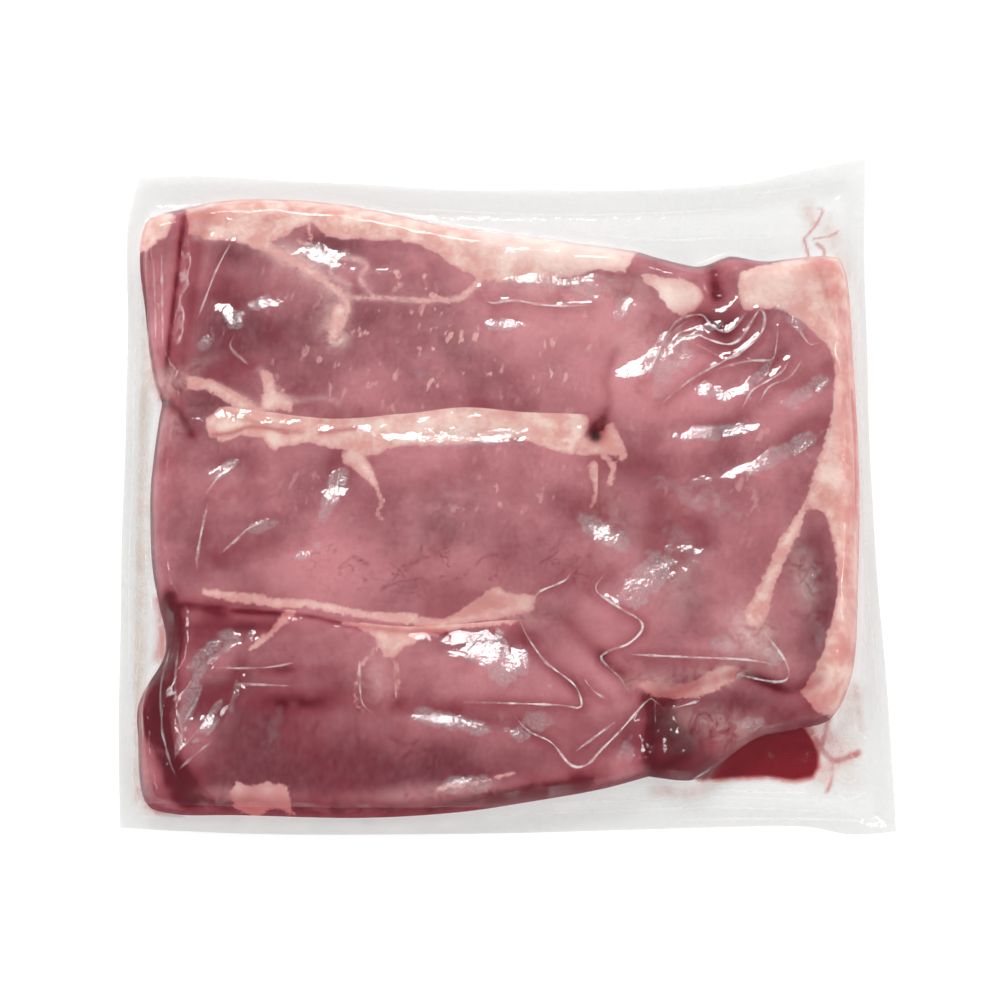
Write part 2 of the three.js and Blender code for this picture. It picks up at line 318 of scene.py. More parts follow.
def sample(field, x, y):
    """A raster's values at points, blended from the four nearest cells."""
    i = np.clip((x - RASTER_LOW[0]) / RASTER_STEP, 0, COLUMNS - 1.001)
    j = np.clip((y - RASTER_LOW[1]) / RASTER_STEP, 0, ROWS - 1.001)
    i0, j0 = i.astype(int), j.astype(int)
    u, v = i - i0, j - j0
    low = field[j0, i0] * (1 - u) + field[j0, i0 + 1] * u
    high = field[j0 + 1, i0] * (1 - u) + field[j0 + 1, i0 + 1] * u
    return low * (1 - v) + high * v


def smoothstep(low, high, x):
    t = np.clip((x - low) / (high - low), 0, 1)
    return t * t * (3 - 2 * t)


def rolling(cell, seed):
    """Smooth random waves from -1 to 1 over the raster, about cell wide."""
    shape = (math.ceil(ROWS * RASTER_STEP / cell) + 4, math.ceil(COLUMNS * RASTER_STEP / cell) + 4)
    lattice = np.random.default_rng(seed).uniform(-1, 1, shape)
    x = (RASTER_X - RASTER_LOW[0]) / cell + 0.5
    y = (RASTER_Y - RASTER_LOW[1]) / cell + 0.5
    i, j = x.astype(int), y.astype(int)
    u, v = smoothstep(0, 1, x - i), smoothstep(0, 1, y - j)
    low = lattice[j, i] * (1 - u) + lattice[j, i + 1] * u
    high = lattice[j + 1, i] * (1 - u) + lattice[j + 1, i + 1] * u
    return low * (1 - v) + high * v


def turned(x, y, degrees=0):
    """The raster's places along and across a direction, from a centre."""
    x, y = RASTER_X - x, RASTER_Y - y
    c, s = math.cos(math.radians(degrees)), math.sin(math.radians(degrees))
    return x * c + y * s, y * c - x * s


def bell(away):
    """A soft bump that is 1 at 0 and fades out past 1."""
    return np.exp(-(away**2))


def beside(line, width, reach):
    """How near each place is to a line, from 1 on it, fading over width, out to reach."""
    return bell(distance(spline(line), reach) / width)


def seep(rows, reach=3):
    """Soft lines, the strongest at each place: strength, width and line."""
    return np.max([strength * beside(line, width, reach * width) for strength, width, line in rows], axis=0)


def spots(rows, start=0.0):
    """Soft spots added together: x, y, length, width, strength and, where it isn't 0, turn."""
    field = np.full(RASTER_X.shape, start)
    for x, y, length, width, strength, *turn in rows:
        along, across = turned(x, y, *turn)
        field += strength * np.exp(-((along / length) ** 2) - (across / width) ** 2)
    return field


LINES = {name: spline(points) for name, points in {
    "outline_a": OUTLINE_A, "outline_b": OUTLINE_B, "outline_c": OUTLINE_C, "outline_d": OUTLINE_D,
    "ab": SEAM_AB, "ad": SEAM_AD, "bd": SEAM_BD, "bc": SEAM_BC, "cd": SEAM_CD,
}.items()}
LEFT_A, FAR_A = split(LINES["outline_a"], CORNER_A)
FAR_D, _side_d = split(LINES["outline_d"], CORNER_D_FAR)
RIGHT_D, NEAR_D = split(_side_d, CORNER_D_NEAR)
NEAR_C, LEFT_C = split(LINES["outline_c"], CORNER_C)
OUTLINE = np.vstack([LINES["outline_" + steak][:-1] for steak in "adcb"])

# Each steak's four sides: near and far from left to right, left and right from near to far
STEAKS = {
    "a": (LINES["ab"], FAR_A, LEFT_A, LINES["ad"][::-1]),
    "b": (LINES["bc"], LINES["ab"], LINES["outline_b"], LINES["bd"][::-1]),
    "c": (NEAR_C[::-1], LINES["bc"], LEFT_C, LINES["cd"][::-1]),
    "d": (NEAR_D[::-1], FAR_D, np.vstack([LINES[s][::-1] for s in ("cd", "bd", "ad")]), RIGHT_D[::-1]),
}


def content_raster():
    """How high the film stands over the flange, from the steaks under it."""
    to_edge = signed(OUTLINE, EDGE_REACH)
    climb = np.clip((to_edge + SHOULDER_OUT) / (SHOULDER_IN + SHOULDER_OUT), 0, 1)
    height = spots(SWELLS, STEAK_HEIGHT) - seep(VALLEYS, 4)
    return height * (1 - (1 - climb) ** SHOULDER_POWER), to_edge


def ridges(place, cell, seed):
    """Random folds with sharp tops across a place, from -1 to 1, about cell apart."""
    knots = np.random.default_rng(seed).uniform(-1, 1, 2 * math.ceil(np.abs(place).max() / cell) + 4)
    at = (np.arange(len(knots)) - len(knots) / 2) * cell
    return np.interp(place, at, knots)


def gathers(to_edge):
    """Small folds of the film that run square to the steaks' edge, all the way round."""
    _away, place = nearest(np.vstack([OUTLINE, OUTLINE[:1]]), EDGE_REACH)
    band = smoothstep(-6, 0, to_edge) * (1 - smoothstep(2, 13, to_edge)) * (1 - 0.8 * beside(NOTCH_D, 9, 24))
    return band * (0.42 * ridges(place, 5.5, SEED + 4) + 0.20 * ridges(place, 2.4, SEED + 5))


def crumple_rasters():
    """Where the film is crumpled, and the relief of those patches."""
    cover, relief = np.zeros(RASTER_X.shape), np.zeros(RASTER_X.shape)
    wander, uneven = 2.2 * rolling(6, SEED + 7), rolling(2.6, SEED + 6)
    for number, (x, y, length, width, strength, *turn) in enumerate(CRUMPLES):
        along, across = turned(x, y, *turn)
        spread = (along / length) ** 2 + (across / width) ** 2
        folds = ridges(across + wander + 0.12 * along, 2.2, SEED + 20 + number)
        core = bell(spread)
        patchy = smoothstep(0.25, 0.8, core + (0.45 * uneven + 0.3 * folds) * (core > 0.04))
        lean = math.radians(sum(turn))
        reach = math.hypot(length * math.sin(lean), width * math.cos(lean))
        slide = reach * np.tanh((RASTER_Y - y) / reach)
        relief -= strength * np.exp(-spread / 3) * (CRUMPLE_TILT - CRUMPLE_FALL * y) * slide
        relief += core * (0.16 * folds + 0.12 * uneven)
        cover = np.maximum(cover, strength * patchy * smoothstep(0.02, 0.3, core))
    return cover, relief


def gloss_raster(to_edge, crumpled):
    """How much the film mirrors: more where it is crumpled, less where it clings to the steaks' sides."""
    clinging = smoothstep(-7, -2, to_edge) * (1 - smoothstep(6, 13, to_edge))
    for line in (FOLD_A, FOLD_C, NOTCH_D, SEAM_BC[:-1], SEAM_CD[2:]):
        clinging = np.maximum(clinging, beside(line, 5.5, 18))
    broken = 0.95 + 0.5 * rolling(5, SEED + 3)
    return (1 + 1.1 * crumpled) * (1 - np.clip(clinging * broken, 0, 0.95))


def slack_raster(to_edge, crumple_relief):
    """The slack film's own relief over the steaks: broad waves, crumpled patches and sharp creases."""
    waves = 0.35 * rolling(17, SEED) + 0.24 * rolling(8, SEED + 1) + 0.09 * rolling(3.5, SEED + 2)
    folded = 0.5 - np.abs(rolling(14, SEED + 8)) + 0.4 * (0.5 - np.abs(rolling(7, SEED + 9)))
    relief = smoothstep(-1, 5, to_edge) * (waves + 0.28 * folded + crumple_relief) + gathers(to_edge)
    relief -= 0.8 * bell(FROM_PIT / 1.3)
    for height, width, line in CREASES:
        away = distance(spline(line), 5 * width) / width
        relief += height * (0.42 * bell(away / 1.3) - 0.14 * bell(away / 2.8))
    return relief


FROM_PIT = np.hypot(*turned(*PIT)) / PIT_REACH
CONTENT, TO_EDGE = content_raster()
CRUMPLED, _crumple_relief = crumple_rasters()
SLACK = slack_raster(TO_EDGE, _crumple_relief)
GLOSS = gloss_raster(TO_EDGE, CRUMPLED)

EDGES = {side: spline(points) for side, points in POUCH.items()}
POUCH_WIDTH = lengths(EDGES["near"])[-1]
POUCH_DEPTH = lengths(EDGES["left"])[-1]


def pouch_grid(step):
    """A grid over the whole pouch, and each point's shares across and along it."""
    us = np.linspace(0, 1, round(POUCH_WIDTH / step) + 1)
    vs = np.linspace(0, 1, round(POUCH_DEPTH / step) + 1)
    points = patch(EDGES["near"], EDGES["far"], EDGES["left"], EDGES["right"], us, vs)
    u, v = np.meshgrid(us, vs)
    return points[..., 0], points[..., 1], u, v


def shares_at(x, y):
    """About which shares across and along the pouch these places are at."""
    left, right = (np.interp(y, EDGES[side][:, 1], EDGES[side][:, 0]) for side in ("left", "right"))
    near, far = (np.interp(x, EDGES[side][:, 0], EDGES[side][:, 1]) for side in ("near", "far"))
    return (x - left) / (right - left), (y - near) / (far - near)


def to_edges(u, v):
    """How far the places at these shares are from the cut edges and from the seals."""
    to_side = np.minimum(u, 1 - u) * POUCH_WIDTH
    near, far = v * POUCH_DEPTH, (1 - v) * POUCH_DEPTH
    to_seal = np.minimum(to_side - SIDE_SEAL, np.minimum(near - SIDE_SEAL, far - MOUTH_SEAL))
    return np.minimum(to_side, np.minimum(near, far)), to_seal


def curl(u, v, x, y):
    """How far the flange has curled up off the surface."""
    to_cut = to_edges(u, v)[0]
    far = CORNER_CURL["far_left"] * (1 - u) + CORNER_CURL["far_right"] * u
    near = CORNER_CURL["near_left"] * (1 - u) + CORNER_CURL["near_right"] * u
    corner = (2 * u - 1) ** 4 * (2 * v - 1) ** 4
    wave = EDGE_WAVE * (1 + np.sin(2 * math.pi * (x + y) / WAVE_LENGTH))
    return (wave + (near * (1 - v) + far * v) * corner) * (1 - smoothstep(0, CURL_REACH, to_cut))


def film_top_height(x, y, u, v):
    """How high the top film is, and how open the pouch is there, from 0 in the seals to 1."""
    opened = smoothstep(0, SEAL_SOFT, to_edges(u, v)[1])
    thickness = SEAL_HEIGHT + (FLANGE_HEIGHT - SEAL_HEIGHT) * opened
    return curl(u, v, x, y) + thickness + (sample(CONTENT, x, y) + sample(SLACK, x, y)) * opened, opened


def as_points(x, y, z):
    """The points of a grid, from the grids of their coordinates."""
    return np.stack([x, y, z], axis=-1).reshape(-1, 3)


def grid_quads(rows, columns, start=0, flip=False):
    """The quads of a grid of vertices, facing up, or down if flipped."""
    at = start + np.arange(rows * columns).reshape(rows, columns)
    quads = np.stack([at[:-1, :-1], at[:-1, 1:], at[1:, 1:], at[1:, :-1]], axis=-1).reshape(-1, 4)
    return quads[:, ::-1] if flip else quads


def add_object(name, data):
    """A new object in the scene that shows this mesh, lamp or camera."""
    made = bpy.data.objects.new(name, data)
    bpy.context.scene.collection.objects.link(made)
    return made


def make_piece(name, points, faces, material, masks):
    """A smooth mesh from points in millimetres and arrays of faces, riding on the pack."""
    mesh = bpy.data.meshes.new(name)
    corners = np.concatenate([f.ravel() for f in faces]).astype(np.int32)
    sizes = np.concatenate([np.full(len(f), f.shape[1]) for f in faces])
    mesh.vertices.add(len(points))
    mesh.vertices.foreach_set("co", (points * MM).astype(np.float32).ravel())
    mesh.loops.add(len(corners))
    mesh.loops.foreach_set("vertex_index", corners)
    mesh.polygons.add(len(sizes))
    mesh.polygons.foreach_set("loop_start", (np.cumsum(sizes) - sizes).astype(np.int32))
    mesh.update(calc_edges=True)
    mesh.validate()
    mesh.polygons.foreach_set("use_smooth", np.ones(len(mesh.polygons), bool))
    for key, values in masks.items():
        attribute = mesh.attributes.new(key, "FLOAT", "POINT")
        attribute.data.foreach_set("value", np.asarray(values, np.float32).ravel())
    mesh.materials.append(material)
    piece = add_object(name, mesh)
    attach(piece, "root")
    return piece


# Shader building

WHITE = (1, 1, 1, 1)


def srgb(red, green, blue):
    """A colour from 0 to 255 as seen, as the shader's own values."""
    values = [c / 255 for c in (red, green, blue)]
    return (*[c / 12.92 if c <= 0.04045 else ((c + 0.055) / 1.055) ** 2.4 for c in values], 1)


class Shader:
    """A material's nodes, each made by one call."""

    def __init__(self, name):
        self.material = bpy.data.materials.new(name)
        self.material.use_nodes = True
        self.tree = self.material.node_tree
        self.tree.nodes.clear()
        self.place = self.node("TexCoord").outputs["Object"]

    def node(self, kind, inputs=None, **settings):
        made = self.tree.nodes.new("ShaderNode" + kind)
        for key, value in settings.items():
            setattr(made, key, value)
        for key, value in (inputs or {}).items():
            if isinstance(value, bpy.types.NodeSocket):
                self.tree.links.new(value, made.inputs[key])
            else:
                made.inputs[key].default_value = value
        return made

    def out(self, kind, inputs=None, **settings):
        return self.node(kind, inputs, **settings).outputs[0]

    def math(self, operation, a, b=0.0, c=0.0):
        return self.out("Math", {0: a, 1: b, 2: c}, operation=operation)

    def times(self, a, b):
        return self.math("MULTIPLY", a, b)

    def attribute(self, name):
        return self.node("Attribute", attribute_name=name).outputs["Fac"]

    def stretched(self, scale, turn):
        """The place on the piece, turned by degrees about X, Y and Z, then scaled, per metre."""
        angles = [math.radians(a) for a in turn]
        turned_place = self.out("Mapping", {"Vector": self.place, "Rotation": angles})
        return self.out("Mapping", {"Vector": turned_place, "Scale": scale})

    def noise(self, size, detail, roughness, distortion=0.0, place=None):
        """Noise from 0 to 1 whose features are about size millimetres, or follow a stretched place."""
        return self.out("TexNoise", {
            "Vector": place or self.place, "Scale": 1.0 if place else 1 / (size * MM),
            "Detail": detail, "Roughness": roughness, "Distortion": distortion})

    def ramp(self, value, low, high, to_low=0.0, to_high=1.0):
        return self.out("MapRange", {
            "Value": value, "From Min": low, "From Max": high, "To Min": to_low, "To Max": to_high,
        }, interpolation_type="SMOOTHSTEP")

    def mix(self, share, a, b):
        return self.node("Mix", {0: share, 6: a, 7: b}, data_type="RGBA").outputs[2]

    def layers(self, colour, *rows):
        """A colour with others laid over it in turn, each by its share."""
        for share, over in rows:
            colour = self.mix(share, colour, over)
        return colour

    def blend(self, share, a, b):
        return self.out("MixShader", {0: share, 1: a, 2: b})

    def bump(self, height, depth):
        """A bumped normal, for heights from 0 to 1 that stand depth millimetres tall."""
        return self.out("Bump", {"Height": height, "Distance": depth * MM, "Strength": 1.0})

    def finish(self, surface):
        self.node("OutputMaterial", {"Surface": surface})
        return self.material


# The steaks' fat, as loops

CHIP = [(30, 9), (33, 15), (40, 18), (46, 19), (48, 13), (46, 8), (40, 9), (34, 8)]
FAT_LOOPS = {
    "a": [
        [(-130, 118), (-104, 122), (-63, 120), (-20, 111), (25, 104), (60, 100), (53, 88), (50, 82),
          (46, 82), (38, 83), (29, 80), (16, 79), (1, 78), (-7, 79), (-15, 83), (-20, 86), (-25, 90),
          (-31, 93), (-39, 95), (-49, 95), (-56, 96), (-60, 95), (-68, 97), (-73, 102), (-78, 101),
          (-83, 97), (-88, 95), (-93, 92), (-100, 95), (-107, 97), (-108, 95), (-116, 95), (-122, 99),
          (-124, 108)],
        [(-148, 95), (-144, 109), (-134, 112), (-128, 107), (-131, 98), (-139, 92)],
        [(-121, 40), (-110, 38), (-101, 33), (-96, 30), (-90, 24), (-96, 23), (-104, 29), (-113, 34),
          (-121, 34)],
        [(-92, 42), (-88, 41), (-85, 33), (-79, 30), (-80, 26), (-92, 26), (-91, 33)],
    ],
    "b": [
        [(-112, 16), (-113, 22), (-108, 27), (-102, 28), (-94, 28), (-85, 27), (-79, 26), (-65, 26),
          (-53, 27), (-35, 28), (-13, 30), (11, 29), (29, 28), (36, 23), (32, 13), (29, 8), (21, 10),
          (8, 15), (-7, 13), (-41, 11), (-47, 8), (-54, 8), (-59, 10), (-65, 11), (-72, 13), (-84, 11),
          (-86, 9), (-91, 15), (-99, 16), (-106, 13)],
        CHIP,
        [(-112, -43.4), (-104, -44.4), (-94, -45.3), (-84.5, -47.5), (-71, -48), (-58, -50.7), (-48, -52.6),
          (-33, -53.3), (-22, -55.6), (-16, -53), (-10, -48.5), (-4, -44.5), (0, -43), (5, -45.5),
          (14, -46.3), (14, -52), (1, -54.9), (-10, -56.4), (-22, -58.7), (-33, -57.2), (-48, -55.6),
          (-58, -53.7), (-71, -51), (-84.5, -50.7), (-94, -49.1), (-103.5, -48), (-112, -46)],
    ],
    "c": [
        [(-60, -57), (-53, -56.5), (-32, -57), (-21, -53), (-16, -49), (-3, -45), (14, -45), (14, -51),
          (12, -55), (5, -57), (-15, -59), (-20, -60), (-29, -63), (-36, -67), (-39, -70), (-43, -70),
          (-46, -64), (-49, -60)],
        [(-100, -120), (-97, -116), (-90, -118), (-86, -116), (-78, -118), (-76, -128), (-84, -126),
          (-92, -129), (-98, -126)],
    ],
    "d": [
        [(56, 82), (64, 80), (71, 79), (78, 77), (81, 73), (79, 68), (72, 64), (68, 66), (62, 74),
          (58, 77)],
        [(95, 82), (106, 86), (115, 90), (131, 96), (146, 90), (146, -80), (138, -84), (131, -92),
          (120, -90), (114, -83), (118, -76), (122, -68), (126, -55), (129, -44), (128, -28), (126, -18),
          (123, -13), (117, -12), (120, -2), (125, 12), (128, 20), (130, 30), (131, 45), (130, 49),
          (126, 54), (117, 63), (110, 67), (102, 67), (96, 66), (94, 73)],
        [(117, -11), (113, -17), (106, -27), (102, -36), (97, -46), (92.5, -54), (94, -58), (98, -60),
          (101, -56), (103, -50), (105, -42), (109, -33), (114, -24), (118, -13)],
        [(50, -80.5), (56, -78.5), (66, -80), (74, -79), (80, -74.5), (86, -72.5), (91, -73.5), (90, -77),
          (84, -81.5), (76, -84.5), (68, -85.5), (58, -83.5)],
        CHIP,
    ],
}

# Lines of fat: radius at each end and line
FAT_LINES = {
    "a": [
        (2.4, 1.4, [(-108, 98), (-98, 95), (-87, 90), (-71, 80), (-60, 71)]),
        (0.7, 0.9, [(-60, 71), (-56, 71), (-46, 71), (-33, 70), (-22, 70)]),
        (0.9, 1.5, [(-22, 70), (-15, 71), (-9, 76), (-7, 79)]),
        (0.6, 0.5, [(-75, 101), (-73, 93), (-74, 86)]), (1.0, 1.6, [(-59, 71), (-59, 65), (-61, 60)]),
        (1.2, 1.0, [(-145, 90), (-141, 66), (-137, 45), (-133, 33)]),
        (2.8, 2.2, [(-62, 66), (-63, 60), (-64, 56)]),
        (0.7, 0.5, [(-68, 87), (-56, 87), (-51, 85), (-54, 79), (-49, 72)]),
        (0.9, 0.3, [(-40, 82), (-38, 74)]), (0.8, 0.3, [(-29, 80), (-28, 74)]),
        (1.2, 0.6, [(-26, 72), (-20, 70)]), (0.6, 0.4, [(25, 73), (32, 68), (34, 64)]),
        (1.0, 0.5, [(-88, 33), (-83, 34)]), (0.6, 0.3, [(-79, 95), (-66, 86), (-60, 76)]),
    ],
    "b": [
        (4.0, 0.7, [(-56, 8), (-50, 1), (-46, -6)]),
        (0.7, 0.6, [(-46, -6), (-44, -11), (-46, -14), (-44, -17)]),
        (2.2, 0.6, [(37, 4), (38, -4), (36, -12)]),
    ],
    "c": [
        (2.2, 0.8, [(-79, -53), (-85, -60), (-93, -67)]),
        (0.6, 0.6, [(-46, -67), (-52, -75), (-53, -86), (-50, -90)]),
        (0.5, 0.4, [(-40, -69), (-37, -77), (-39, -86)]), (0.8, 0.5, [(-22, -119), (-10, -117), (6, -113)]),
    ],
    "d": [
        (2.0, 1.6, [(43, 19), (46, 14), (48, 8)]), (1.4, 1.2, [(41, 8), (44, 4), (43, -3)]),
    ],
}


def fat_raster(steak):
    """How far inside the fat each place on a steak is, or how far outside it if negative."""
    field = np.full(RASTER_X.shape, float(-FAT_REACH))
    for loop in FAT_LOOPS[steak]:
        field = np.maximum(field, signed(loop, FAT_REACH))
    for start, end, line in FAT_LINES[steak]:
        points = spline(line, 1.0)
        for point, radius in zip(points, np.linspace(start, end, len(points))):
            rows, columns = window(point, point, FAT_REACH)
            away = np.hypot(RASTER_X[rows, columns] - point[0], RASTER_Y[rows, columns] - point[1])
            np.maximum(field[rows, columns], radius - away, out=field[rows, columns])
    return field


# Masks of the meat, as spots (x, y, length, width, strength and turn) and as lines (strength, width
# and points). First the whitish skin over it, with painted sheen in some of its spots
SKIN_AND_PAINTED_SHEEN_SPOTS = [
    (-77, 86, 12, 7, 0.7, -30), (-66, 62, 5, 9, 0.55), (-62, 54, 4, 3, 0.9), (-59, 66, 2, 7, 0.5),
    (-46, -80, 6, 9, 0.35, 10), (-100, -121, 10, 3, 0.3), (-128, 38, 8, 5, 0.5, -30),
    (-118, 44, 8, 3, 0.3, 20), (-125, 20, 5, 6, 0.3, 20), (116, -40, 6, 14, 0.5, 10),
    (24, 77, 26, 5, 0.55, -3), (66, 48, 12, 9, 0.35, 50), (8, -52, 12, 6, 0.4), (-20, -120, 30, 3, 0.3, 4),
    (92, -62, 10, 6, 0.4, 60), (76, -92, 14, 4, 0.25, -10), (20, 60, 30, 14, 0.15), (-20, 55, 20, 14, 0.08),
    (52, 55, 6, 20, 0.25, -10), (44, -20, 10, 14, 0.25), (68, -45, 9, 12, 0.3), (-25, -20, 20, 14, 0.12),
    (-110, 65, 10, 10, -0.15), (72, -76, 20, 3, 0.3, 4), (99, -62, 7, 7, 0.6), (104, -70, 8, 5, 0.35, -30),
    (60, -80, 14, 3, 0.4), (86, -77, 7, 3, 0.9, 20), (90, -56, 6, 10, 0.3, -20), (86, -96, 16, 7, 0.35),
]
VEIL_LINES = [
    (0.6, 2.8, [(-118, 98), (-106, 98), (-98, 95), (-87, 90), (-71, 80), (-60, 71)]),
    (0.6, 1.2, [(-60, 71), (-46, 71), (-33, 70), (-22, 70), (-13, 72), (-7, 78)]),
    (0.6, 2.6, [(-61, 68), (-63, 60), (-64, 54)]),
    (0.7, 1.3, [(-72, 90), (-60, 88), (-52, 85), (-54, 79), (-50, 73)]),
    (0.6, 1.0, [(-60, 90), (-66, 82), (-58, 76)]),
    (0.5, 1.6, [(-121, 38), (-110, 36), (-100, 31), (-92, 27)]),
    (0.6, 1.6, [(-92, 42), (-88, 36), (-83, 32), (-78, 30)]), (0.4, 1.2, [(-88, 27), (-70, 31), (-62, 29)]),
]
# Blood, with painted shade in the folds, seams and along the near wall: the fold at steak A's left end, the
# dark tail of steak D, lines and spots
FOLD_A_RED_AND_PAINTED_SHADE = [(-124, 108), (-111, 108), (-115, 102), (-116, 88), (-118, 71), (-120, 51), (-122, 31),
              (-129.6, 39), (-129.2, 59), (-128.4, 79), (-127.4, 96)]
TAIL_DARK = [(58, -88), (67, -92.5), (74, -99.5), (80, -106), (88, -110), (80, -116), (73, -119), (58, -116),
             (55, -103)]
BLOOD_AND_PAINTED_SHADE_LINES = [
    (0.95, 1.0, [(-110, 16), (-102, 17), (-97, 19), (-90, 19), (-81, 17)]),
    (0.9, 0.8, [(-69, 17), (-62, 18), (-55, 19)]), (0.4, 1.2, FOLD_A), (1.2, 5.2, FOLD_C),
    (0.9, 2.4, [LEFT_AB, (-124, 26), (-118, 16)]), (0.4, 2.2, [(46, 50), (42, 38), (43, 29), (38, 18)]),
    (0.8, 3.4, NOTCH_D), (0.7, 2.6, TAIL_D), (0.45, 3.6, SEAM_CD),
    (0.85, 3.0, [(-130, -50), (-118, -50), (-104, -52)]),
    (0.75, 1.3, [(-104, -51.5), (-84, -53), (-70, -54.5), (-58, -57.3), (-45, -59), (-34, -60),
        (-20, -60)]),
    (1.2, 3.4, [(-125, -50), (-124, -63), (-127, -78), (-131, -86), (-130, -98), (-122, -108), (-118, -118),
        (-110, -122)]),
    (0.8, 3.4, [(-118, -122), (-97, -125), (-52, -126.5), (-16, -124.5), (12, -120.5), (34, -117)]),
    (0.95, 1.8, [(48, 96), (56, 94), (67, 89), (79, 87), (86, 90), (96, 90), (110, 91)]),
    (0.2, 3.0, SEAM_BD), (0.5, 1.2, [(-108, 26), (-90, 20), (-76, 17)]),
    (0.6, 1.0, [(138, 35), (138.5, 10), (137, -20)]),
    (0.35, 0.8, [(120, 92), (127, 80), (130, 66), (135, 56)]),
]
# The pinker band of fat along steak D's right edge
SALMON_EDGE = [(123, 93), (130, 82), (134.5, 66), (137, 50), (137, 20), (136, -10), (135, -40), (132, -70)]
BLOOD_AND_PAINTED_SHADE_SPOTS = [
    (-80, -75, 9, 3, 0.6), (-78, -87, 14, 4, 0.6), (39, 20, 5, 6, 0.8), (62, -97, 7, 13, 0.9),
    (-122, -84, 8, 16, 0.5), (64, -104, 12, 10, 0.5), (-92, -58, 26, 3, 0.5), (-70, -86, 34, 5, 0.4, -4),
    (-118, -118, 14, 6, 0.6, 30), (82, -98, 26, 9, 0.55, 12), (-104, 40, 14, 5, 0.4, 15),
    (-70, -100, 8, 10, 0.35), (14, -98, 26, 9, 0.3, -10), (-40, -100, 30, 9, 0.2),
    (-96, -30, 14, 4, 0.3, 25), (88, 62, 7, 12, 0.6, 10), (120, -86, 6, 6, 0.7), (10, -118, 34, 4, 0.45, 8),
    (-60, -10, 26, 5, 0.16, 10), (52, -60, 9, 9, 0.2), (100, -30, 10, 26, 0.18, 10),
    (30, -80, 14, 5, 0.35, -40), (-88, -124, 14, 5, 0.12),
]
# Brown and grey places, partly the meat's own colour and partly painted shade, and paler ones where the
# strength is negative, partly paler meat and partly painted sheen
SHADE_SPOTS = [
    (-100, -88, 30, 22, 0.6), (-40, -106, 50, 14, 0.35), (92, -94, 30, 11, 0.8), (120, -48, 9, 30, 0.6, 5),
    (-108, 62, 14, 22, 0.5), (-90, 58, 18, 8, 0.4, 10), (-90, -20, 34, 22, 0.3), (26, 50, 26, 18, -0.25),
    (-30, 50, 30, 20, 0.15), (60, -30, 20, 30, 0.05), (-40, -36, 40, 8, -0.35), (110, 55, 14, 12, 0.2),
    (-60, -116, 70, 11, 0.6), (70, -44, 10, 12, 0.45), (92, -10, 10, 14, 0.5, 20), (-66, 92, 12, 7, 0.5),
    (-112, 28, 14, 12, 0.5), (-66, -32, 10, 14, -0.4, 60), (68, 46, 15, 14, -0.8), (80, 28, 18, 10, -0.2),
    (70, -10, 9, 22, -0.2), (-75, 56, 34, 22, 0.35), (24, 66, 26, 12, -0.55), (-20, 4, 40, 10, -0.15),
    (70, -104, 20, 10, 0.5, -10), (-118, -4, 14, 30, 0.25), (30, -70, 24, 14, -0.15), (-104, 90, 8, 5, 0.5),
    (-66, 92, 12, 6, 0.4), (-15, -17, 20, 11, 0.45), (-100, 20, 30, 60, -0.15),
]
# Whiter fat, and pinker fat where the strength is negative
TONE_SPOTS = [
    (24, 94, 34, 11, 1.2, -4), (108, 78, 18, 11, 0.6, -10), (128, 26, 5, 30, 0.5), (68, 71, 9, 7, 1.0),
    (-20, 20, 40, 6, 0.4), (86, -77, 6, 5, 0.9), (-44, -60, 14, 8, -0.5), (68, -80, 26, 5, -0.6, 5),
    (-88, -123, 16, 8, -1.2), (0, -48, 18, 5, -0.4),
]
# Thin dark cracks, and where noise adds finer ones
CRACK_LINES = [
    (1.0, 0.5, [(-76, -94), (-74, -100), (-75, -106)]),
    (1.0, 0.5, [(-67, -94), (-69, -100), (-67, -105), (-70, -111)]),
    (1.0, 0.5, [(-83, -101), (-84, -107), (-82, -110)]), (0.9, 0.5, [(-52, -88), (-53, -96), (-51, -104)]),
    (0.9, 0.5, [(-60, -98), (-59, -105), (-61, -110)]), (0.9, 0.5, [(-40, -100), (-33, -103), (-28, -99)]),
    (0.9, 0.5, [(-36, -108), (-30, -104), (-24, -106)]), (0.9, 0.5, [(-60, -36), (-55, -32), (-49, -35)]),
    (0.9, 0.5, [(-36, -35), (-30, -33), (-29, -27)]),
    (0.9, 0.5, [(-16, -40), (-10, -37), (-6, -32), (0, -31)]),
    (0.9, 0.5, [(-44, -44), (-38, -41), (-33, -43)]), (0.8, 0.5, [(16, -34), (22, -30), (24, -24)]),
]
CRACK_SPOTS = [
    (-20, -36, 50, 12, 0.9), (-50, -104, 50, 14, 0.6), (20, -40, 20, 12, 0.6), (-70, -20, 30, 16, 0.5),
    (40, -104, 14, 6, 0.5),
]
# Where short pale flecks show
FLECK_SPOTS = [
    (-30, 50, 50, 26, 1.0), (14, 48, 30, 20, 0.8), (-90, 66, 30, 20, 0.5), (0, -6, 40, 16, 0.6),
    (100, 0, 24, 30, 0.5), (60, 10, 16, 16, 0.6), (-80, -4, 30, 14, 0.4), (20, -80, 30, 20, 0.3),
    (90, -94, 20, 10, 0.4),
]


